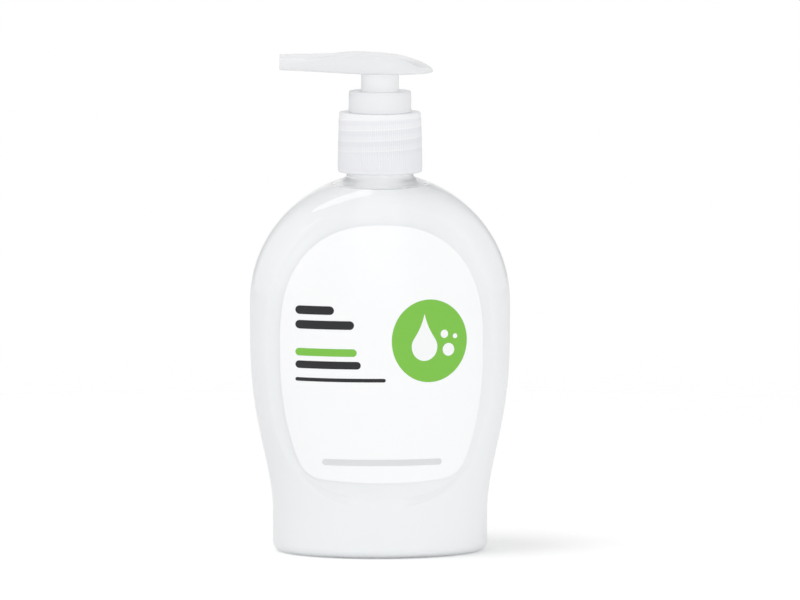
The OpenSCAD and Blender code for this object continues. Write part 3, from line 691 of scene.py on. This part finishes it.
def make_soap(material):
    """Soap that wets the bottle's wall, with a low rim at its surface and the channel round the pump."""
    n = WALL_POINTS
    level = span("liquid_soap", 2)[1]
    tube_low = span("dip_tube", 2)[0] - 0.6
    socket_low = span("pump_housing", 2)[0] - 0.3
    heights = np.concatenate([side_heights(), shoulder_heights(SOAP_INSET, 36)])
    rings = base_rings(SOAP_INSET, n) + wall_rings(SOAP_INSET, [z for z in heights if z < level - 0.6], n)
    rings += wall_rings(SOAP_INSET, [level], n)
    rim_w, rim_d = width_at(level, SOAP_INSET), depth_at(level, SOAP_INSET)
    for share, drop in SOAP_RIM:
        half_w = rim_w + (PLUG_CHANNEL_R - rim_w) * share
        half_d = rim_d + (PLUG_CHANNEL_R - rim_d) * share
        rings.append(body_ring(half_w, half_d, level - drop, n))
    rings += turned(((PLUG_CHANNEL_R, level - 0.3), (PLUG_CHANNEL_R, PLUG_LOW_Z),
                     (CHAMBER_CHANNEL_R, PLUG_LOW_Z), (CHAMBER_CHANNEL_R, CHAMBER_LOW_Z),
                     (SOCKET_CHANNEL_R, CHAMBER_LOW_Z), (SOCKET_CHANNEL_R, socket_low),
                     (TUBE_CHANNEL_R, socket_low), (TUBE_CHANNEL_R, tube_low)), n)
    piece = loft("soap_fill", rings, (0, 0, PUSHUP_H + SOAP_INSET), (0, 0, tube_low), 50, crossed=True)
    dress(piece, "bottle", "soap", material, "liquid_soap")


def label_outline():
    """Outline of the label in the XZ plane, clockwise from its top middle."""
    corner_z = LABEL_Z - LABEL_DROP_H + LABEL_BOW + LABEL_CORNER

    def bottom_z(x):
        return LABEL_Z - LABEL_DROP_H + LABEL_BOW * (x / (LABEL_HALF_W - LABEL_TAPER)) ** 2

    foot_x = float(label_side(corner_z - LABEL_CORNER)) - LABEL_CORNER
    points = []
    for a in np.radians(np.linspace(90, 0, 60)):
        points.append((LABEL_HALF_W * max(0, math.cos(a)) ** (2 / ARCH_POWER),
                       LABEL_Z + LABEL_ARCH_H * max(0, math.sin(a)) ** (2 / ARCH_POWER)))
    for z in np.linspace(LABEL_Z, corner_z, 30)[1:]:
        points.append((float(label_side(z)), z))
    p0 = np.array(points[-1])
    p1 = np.array((float(label_side(corner_z - LABEL_CORNER)), bottom_z(foot_x + LABEL_CORNER)))
    p2 = np.array((foot_x, bottom_z(foot_x)))
    for t in np.linspace(0, 1, 13)[1:-1]:
        points.append(tuple((1 - t) ** 2 * p0 + 2 * t * (1 - t) * p1 + t * t * p2))
    for x in np.linspace(foot_x, 0, 18):
        points.append((x, bottom_z(x)))
    return np.array(points + [(-x, z) for x, z in points[-2:0:-1]])


def sheet_points(outline, centre, shares, out):
    """Rings of points on the front panel, from the outline in to its centre, a distance in front of it."""
    rings = []
    for share in shares:
        flat = centre + share * (outline - centre)
        y = -front_at(flat[:, 0], flat[:, 1]) - out
        rings.append(np.stack([flat[:, 0], y, flat[:, 1]], axis=1))
    middle = (centre[0], -float(front_at(np.array(centre[0]), np.array(centre[1]))) - out, centre[1])
    return rings, middle


def front_sheet(name, outline, centre, gap, thickness, ring_count):
    """A thin closed sheet that follows the front panel inside an outline."""
    centre = np.array(centre, dtype=float)
    shares = np.linspace(0, 1, ring_count + 1)[1:]
    back, back_middle = sheet_points(outline, centre, shares, gap)
    front, front_middle = sheet_points(outline, centre, shares[::-1], gap + thickness)
    return loft(name, back + front, back_middle, front_middle, 40)


def joined(name, pieces):
    """One object from several, under the name given."""
    bpy.ops.object.select_all(action="DESELECT")
    for piece in pieces:
        piece.select_set(True)
    bpy.context.view_layer.objects.active = pieces[0]
    bpy.ops.object.join()
    pieces[0].name = name
    return pieces[0]


def make_label(material):
    """Label film on the front panel."""
    piece = front_sheet("label_sheet", label_outline(), (0, LABEL_Z - 4), FILM_GAP, LABEL_T, 26)
    dress(piece, "bottle", "label_film", material, "front_label")


def circle(x, z, r, steps):
    """Outline of a round field, squeezed as the disc is."""
    a = np.linspace(0, 2 * math.pi, steps, endpoint=False)
    return np.stack([x + DISC_SQUEEZE * r * np.sin(a), z + r * np.cos(a)], axis=1)


def bar_sheet(name, x, rise, length, height):
    """A bar with round ends, as columns across the panel, so that it follows the curve along its length."""
    z = LABEL_Z + rise
    r = height / 2
    ends = [(x + r - r * math.cos(a), r * math.sin(a)) for a in np.radians(np.linspace(6, 84, 8))]
    inner = length - height
    steps = max(4, int(inner / 0.8))
    middle = [(x + r + inner * i / steps, r) for i in range(steps + 1)]
    sections = ends + middle + [(2 * x + length - px, h) for px, h in ends[::-1]]
    corners = ((1, INK_OUT), (-1, INK_OUT), (-1, INK_OUT + INK_T), (1, INK_OUT + INK_T))
    rings = []
    for px, h in sections:
        ring = []
        for side, out in corners:
            pz = z + side * h
            ring.append((px, -float(front_at(np.array(px), np.array(pz))) - out, pz))
        rings.append(np.array(ring))
    tips = [np.mean(rings[0], axis=0), np.mean(rings[-1], axis=0)]
    return loft(name, rings, tips[0], tips[1], 30)


def drop_outline(cx, cz, r):
    """Outline of a drop, clockwise from its tip."""
    tip = np.array((0, 2.35))
    touch = np.array((math.cos(math.radians(30)), math.sin(math.radians(30))))
    flank = [tip + t * (touch - tip) - np.array((0.12 * math.sin(math.pi * t), 0))
             for t in np.linspace(0, 1, 14)[1:-1]]
    points = [tuple(tip)] + [tuple(p) for p in flank] + arc(0, 0, 1, 30, -210, 48)
    points += [(-p[0], p[1]) for p in flank[::-1]]
    return np.array([(cx + DISC_SQUEEZE * r * x, cz + r * z) for x, z in points])


def make_print(green, white, dark, grey):
    """Ink fields on the label: a round field with a drop and bubbles, and plain bars."""
    disc = front_sheet("print_disc", circle(DISC_X, DISC_Z, DISC_R, 120), (DISC_X, DISC_Z), INK_OUT, INK_T, 10)
    dress(disc, "bottle", "green_ink", green, "label_disc")
    lift = INK_OUT + INK_T + INK_GAP
    parts = [front_sheet("drop", drop_outline(DROP_X, DROP_Z, DROP_R), (DROP_X, DROP_Z), lift, INK_T, 6)]
    for dx, dz, share in BUBBLES:
        x, z = DISC_X + dx * DISC_R, DISC_Z + dz * DISC_R
        parts.append(front_sheet("bubble", circle(x, z, share * DISC_R, 40), (x, z), lift, INK_T, 2))
    dress(joined("print_emblem", parts), "bottle", "white_ink", white, "label_emblem")
    bars = joined("print_dark_bars", [bar_sheet("bar", *sizes) for sizes in DARK_BARS])
    dress(bars, "bottle", "dark_ink", dark, "label_dark_bars")
    dress(bar_sheet("print_green_bar", *GREEN_BAR), "bottle", "green_ink", green, "label_green_bar")
    dress(bar_sheet("print_grey_bar", *GREY_BAR), "bottle", "grey_ink", grey, "label_grey_bar")


def collar_r(z):
    """Radius of the collar's outside at height z, over its ribs."""
    return COLLAR_R - 0.05 - COLLAR_DRAFT * (z - COLLAR_Z) / (COLLAR_TOP_Z - COLLAR_Z)


def collar_grip(n):
    """Rings of the collar's ribbed wall, whose ribs fade at both ends."""
    rib = 0.5 + 0.5 * np.cos(np.linspace(0, 2 * math.pi, n, endpoint=False) * RIB_COUNT)
    low, high = COLLAR_Z + COLLAR_RIM_H, COLLAR_TOP_Z - COLLAR_CROWN_H
    heights = (*np.linspace(low, low + RIB_FADE, 4), *np.linspace(low + 2, high - 2, 6),
               *np.linspace(high - RIB_FADE, high, 4))
    rings = []
    for z in heights:
        ends = step01((z - low) / RIB_FADE) * step01((high - z) / RIB_FADE)
        rings.append(round_ring(collar_r(z) - RIB_DEPTH * (1 - rib * ends), z, n))
    return rings


def make_collar(material):
    """Screw collar: fine grip ribs between a plain rim and a plain crown, and its inner thread."""
    n = RIB_COUNT * 4
    rim = ((COLLAR_BORE_R + 0.3, COLLAR_Z), (COLLAR_R - 0.6, COLLAR_Z), (COLLAR_R - 0.4, COLLAR_Z + 0.08),
           (COLLAR_R - 0.2, COLLAR_Z + 0.3), (COLLAR_R - 0.17, COLLAR_Z + COLLAR_RIM_H - 0.1))
    crown = arc(collar_r(COLLAR_TOP_Z) - 0.5, COLLAR_TOP_Z - 0.45, 0.45, 0, 90, 6)
    hole = ((COLLAR_HOLE_R + 0.15, COLLAR_TOP_Z), (COLLAR_HOLE_R, COLLAR_TOP_Z - 0.15),
            (COLLAR_HOLE_R, COLLAR_CEILING_Z), (COLLAR_BORE_R - 0.3, COLLAR_CEILING_Z),
            (COLLAR_BORE_R, COLLAR_CEILING_Z - 0.3))
    bore = [round_ring(COLLAR_BORE_R - collar_thread(z, n), z, n)
            for z in np.linspace(COLLAR_CEILING_Z - 1.2, COLLAR_Z + 1.2, 64)]
    rings = turned(rim, n) + collar_grip(n) + turned(crown, n) + turned(hole, n) + bore
    rings.append(round_ring(COLLAR_BORE_R, COLLAR_Z + 0.3, n))
    piece = loft("ribbed_collar", rings, sharp_deg=50)
    dress(piece, "collar", "natural_pp", material, "collar")


def collar_thread(z, n):
    """Depth of the collar's inner thread, which lies half a pitch off the neck's."""
    a = np.linspace(0, 2 * math.pi, n, endpoint=False)
    depth = np.zeros(n)
    for turn in range(-6, 7):
        crest = THREAD_FRONT_Z + THREAD_PITCH * ((a - math.radians(270)) / (2 * math.pi) + turn + 0.5)
        fade = step01(crest - COLLAR_THREAD_FROM_Z) * step01(COLLAR_THREAD_TO_Z - crest)
        tooth = 1 - step01((np.abs(z - crest) - 0.25) / 0.55)
        depth = np.maximum(depth, COLLAR_THREAD_H * fade * tooth)
    return depth


def make_nut(material):
    """Locking nut with soft edges, its pocket for the housing's hub and the guide cup below."""
    pocket_r, pocket_top = 8.2, NUT_TOP_Z - 1.3
    bore_r, floor_top = 6.0, CUP_Z + 1.1
    profile = [(GUIDE_R, CUP_Z), (CUP_R - 0.2, CUP_Z), (CUP_R, CUP_Z + 0.2), (CUP_R, pocket_top),
               (pocket_r, pocket_top), (pocket_r, NUT_Z), (NUT_R - 0.05, NUT_Z), (NUT_R, NUT_Z + 0.05)]
    profile += arc(NUT_R - 0.6, NUT_TOP_Z - 0.5, 0.5, 0, 90, 8)
    profile += arc(bore_r + 0.4, NUT_TOP_Z - 0.4, 0.4, 90, 180, 5)
    profile += [(bore_r, floor_top), (GUIDE_R, floor_top)]
    piece = lathe("lock_nut_shell", profile, 144)
    dress(piece, "pump", "natural_pp", material, "locking_nut")


def ridge_z(x):
    """Height of the head's ridge at x."""
    if x < -6:
        return HEAD_TOP_Z - SPOUT_TOP_DROP * ((-6 - x) / (SPOUT_REACH - 6)) ** 2
    if x < 0:
        return HEAD_TOP_Z
    reach = max(0.0, 1 - (x / TAIL_REACH) ** TAIL_POWER)
    return HEAD_Z + TAIL_TIP_RISE + (HEAD_H - TAIL_TIP_RISE) * reach ** (1 / TAIL_POWER)


def under_z(x):
    """Height of the head's underside at x."""
    if x < BELLY_X:
        rise = HEAD_H - SPOUT_TOP_DROP - SPOUT_H
        return HEAD_Z + rise * ((BELLY_X - x) / (BELLY_X + SPOUT_REACH)) ** 2
    return HEAD_Z + (TAIL_TIP_RISE - TAIL_TIP_T) * ((x - BELLY_X) / (TAIL_REACH - BELLY_X)) ** 4


def edge_drop(x):
    """How far the edge between the head's top and its side lies below the ridge."""
    return float(2.3 * step01((-9 - x) / 20) + 0.75 * math.exp(-((x - 2.5) / 4.5) ** 2)
                 + 1.5 * step01((x - 5) / 7) * (1 - step01((x - 12) / 4)))


def head_half(x):
    """Half-width of the head at x."""
    if x < 2:
        share = step01((x + SPOUT_REACH - 4.3) / (SPOUT_REACH - 2.3))
        return float(SPOUT_HALF_W + (REST_HALF_W - SPOUT_HALF_W) * share)
    return REST_HALF_W * max(0.0, 1 - ((x - 2) / (TAIL_REACH + 0.15 - 2)) ** 2.2) ** (1 / 2.2)


def head_section(x, inset):
    """Section of the head at x, from the near bottom corner over the top to the far one."""
    b = head_half(x) - inset
    low = under_z(x) - (2 if inset > 0 else 0)
    top = ridge_z(x) - inset
    edge = max(low + 0.35, top - edge_drop(x))
    r = 0.1 if inset > 0 else min(0.9, 0.3 * (edge - low), 0.4 * b)
    soft = min(0.35, 0.3 * (edge - low))
    points = [(-b + r - r * math.sin(t), low + r - r * math.cos(t)) for t in np.linspace(0, math.pi / 2, 7)]
    points += [(-b, edge - soft)]
    for y in np.linspace(-0.985, 0.985, 41):
        crown = edge + (top - edge) * (1 - y * y)
        points.append((b * y, crown - soft * max(0.0, (abs(y) - 0.9) / 0.1) ** 2 * 0.35))
    points += [(b, edge - soft)]
    points += [(b - r + r * math.sin(t), low + r - r * math.cos(t)) for t in np.linspace(math.pi / 2, 0, 7)]
    return np.array([(x, y, z) for y, z in points])


def head_loft(name, places, inset):
    """The head's form through its sections at some places along X."""
    ends = [(x, 0, (under_z(x) + ridge_z(x)) / 2) for x in (places[0], places[-1])]
    return loft(name, [head_section(x, inset) for x in places], ends[0], ends[1])


def rod(name, r, start, end, n=64):
    """A closed round rod between two points on a line along X or Z."""
    start, end = np.array(start, float), np.array(end, float)
    a = np.linspace(0, 2 * math.pi, n, endpoint=False)
    along_x = abs(end[0] - start[0]) > abs(end[2] - start[2])
    if along_x:
        ring = np.stack([np.zeros(n), r * np.cos(a), r * np.sin(a)], axis=1)
    else:
        ring = np.stack([r * np.cos(a), r * np.sin(a), np.zeros(n)], axis=1)
    return loft(name, [start + ring, end + ring], tuple(start), tuple(end))


def make_head(material):
    """Hollow finger rest with its spout tube, boss and sleeve, as one moulding."""
    outer = np.concatenate([np.linspace(-SPOUT_REACH, 4, 70),
                            4 + (TAIL_REACH - 4) * np.sin(np.radians(np.linspace(0, 90, 31)[1:]))])
    hollow_low, hollow_high = -SPOUT_REACH + 9, TAIL_REACH - 3
    boss_top = HEAD_TOP_Z - 0.9 * HEAD_WALL
    axis = (0, 0, SPOUT_AXIS_Z)
    piece = head_loft("pump_head_shell", outer, 0.0)
    combine(piece, head_loft("hollow", np.linspace(hollow_low, hollow_high, 50), HEAD_WALL), "DIFFERENCE")
    combine(piece, rod("boss", SLEEVE_R, (0, 0, SLEEVE_Z), (0, 0, boss_top), 128), "UNION")
    combine(piece, rod("tube", SPOUT_BORE_R + 0.9, (hollow_low - 1, 0, SPOUT_AXIS_Z), axis), "UNION")
    combine(piece, rod("skirt", SLEEVE_R - 1, (0, 0, SLEEVE_Z - 1), (0, 0, HEAD_Z - 0.2), 128), "DIFFERENCE")
    combine(piece, rod("socket", SOCKET_R, (0, 0, SLEEVE_Z - 2), (0, 0, STEM_TOP_Z + 0.05), 96), "DIFFERENCE")
    combine(piece, rod("valve", VALVE_R, (0, 0, STEM_TOP_Z - 0.5), (0, 0, STEM_TOP_Z + 2.8)), "DIFFERENCE")
    combine(piece, rod("outlet", SPOUT_BORE_R, (-SPOUT_REACH - 1, 0, SPOUT_AXIS_Z), axis), "DIFFERENCE")
    finish_shading(piece, 38)
    dress(piece, "head", "natural_pp", material, "pump_head")


def dress_cad_nodes(materials):
    """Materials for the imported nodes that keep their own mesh."""
    nodes = {"neck_gasket": "gasket_foam", "pump_housing": "natural_pp", "dip_tube": "pump_pe",
             "inlet_ball": "ball_glass", "spring_seat": "pump_pe", "return_spring": "spring_steel",
             "piston_seal": "pump_pe", "stem": "natural_pp", "outlet_ball": "ball_glass"}
    for node, name in nodes.items():
        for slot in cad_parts[node].material_slots:
            slot.material = materials[name]


# Stage, lights and camera

def make_floor():
    """Pale floor that keeps the shadow and fades into the white background away from the object."""
    corners = [(x * FLOOR_HALF / MM, y * FLOOR_HALF / MM, 0) for x, y in ((-1, -1), (1, -1), (1, 1), (-1, 1))]
    piece = new_piece("floor", corners, [(0, 1, 2, 3)])
    shader = Shader("floor_paper", (FLOOR_ALBEDO,) * 3, 1.0)
    camera_ray = shader.node("ShaderNodeLightPath").outputs["Is Camera Ray"]
    paper = shader.node("ShaderNodeBsdfDiffuse")
    shader.join(shader.ranged(camera_ray, FLOOR_ALBEDO, FLOOR_SEEN), paper.inputs["Color"])
    distance = shader.node("ShaderNodeVectorMath", operation="LENGTH")
    shader.join(shader.place, distance.inputs[0])
    fade = shader.ranged(distance.outputs["Value"], 0.0, 1.0, FLOOR_FADE_FROM, FLOOR_FADE_TO, smooth=True)
    clear = shader.node("ShaderNodeBsdfTransparent")
    shader.blend(shader.calc("MULTIPLY", camera_ray, fade), paper.outputs["BSDF"], clear.outputs["BSDF"])
    piece.data.materials.append(shader.material)


def make_world():
    """Even studio light: white for what the camera and clear parts see, and darker flags for gloss."""
    world = bpy.data.worlds.new("studio")
    world.use_nodes = True
    SCENE.world = world
    nodes = Nodes(world.node_tree)
    direction = nodes.split(nodes.node("ShaderNodeTexCoord").outputs["Generated"])
    path = nodes.node("ShaderNodeLightPath").outputs
    seen = path["Is Camera Ray"]
    for kind in ("Is Glossy Ray", "Is Transmission Ray"):
        seen = nodes.calc("MAXIMUM", seen, path[kind])
    flags = nodes.ramp(nodes.calc("ABSOLUTE", direction["X"]), FLAG_MARKS)
    white = nodes.ranged(path["Is Glossy Ray"], 1.0, flags)
    sky = nodes.ranged(direction["Z"], SKY_AT_HORIZON, SKY_AT_ZENITH)
    background = world.node_tree.nodes["Background"]
    background.inputs["Color"].default_value = (1, 1, 1, 1)
    nodes.join(nodes.ranged(seen, sky, white), background.inputs["Strength"])


def make_lamp(name, place, aim, size, watts, twist_deg, in_gloss):
    """A soft oval lamp that looks from its place to its aim."""
    lamp = bpy.data.lights.new(name, "AREA")
    lamp.shape = "ELLIPSE"
    lamp.size, lamp.size_y = size
    lamp.energy = watts
    holder = bpy.data.objects.new(name, lamp)
    holder.location = place
    track = (Vector(aim) - Vector(place)).to_track_quat("-Z", "Y")
    holder.rotation_euler = (track @ Quaternion((0, 0, 1), math.radians(twist_deg))).to_euler()
    holder.visible_glossy = in_gloss
    SCENE.collection.objects.link(holder)


def make_camera():
    """The photograph's view: far off, a little from above and from the left."""
    camera = bpy.data.cameras.new("camera")
    camera.lens = LENS_MM
    camera.sensor_width = SENSOR_MM
    turn = math.radians(VIEW_TURN_DEG)
    right = Vector((math.cos(turn), -math.sin(turn), 0))
    back = Vector((math.sin(turn), -math.cos(turn), 0))
    aim = right * AIM_RIGHT + Vector((0, 0, AIM_HEIGHT))
    holder = bpy.data.objects.new("camera", camera)
    holder.location = right * AIM_RIGHT + back * VIEW_DISTANCE + Vector((0, 0, VIEW_HEIGHT))
    holder.rotation_euler = (aim - holder.location).to_track_quat("-Z", "Y").to_euler()
    SCENE.collection.objects.link(holder)
    SCENE.camera = holder


def main():
    materials = {
        "clear_pet": clear_pet(), "milky_soap": milky_soap(), "label_film": label_film(),
        "natural_pp": natural_pp("natural_pp", 0.15, (0.92, 0.925, 0.935)),
        "closure_pp": natural_pp("closure_pp", 0.2, (0.895, 0.9, 0.915)),
        "head_pp": head_pp(), "threaded_pp": threaded_pp(),
        "pump_pe": pump_pe(), "gasket_foam": gasket_foam(),
        "spring_steel": spring_steel(), "ball_glass": ball_glass()}
    green = ink("green_ink", (0.205, 0.552, 0.058))
    white = ink("white_ink", (0.93, 0.95, 0.94), 0.01)
    dark = ink("dark_ink", (0.012, 0.013, 0.016))
    grey = ink("grey_ink", (0.74, 0.745, 0.76))
    make_bottle(materials["clear_pet"])
    make_soap(materials["milky_soap"])
    make_label(materials["label_film"])
    make_print(green, white, dark, grey)
    make_collar(materials["threaded_pp"])
    make_nut(materials["closure_pp"])
    make_head(materials["head_pp"])
    dress_cad_nodes(materials)
    make_floor()
    make_world()
    for lamp in LAMPS:
        make_lamp(*lamp)
    make_camera()
    SCENE.view_settings.view_transform = "Standard"


main()
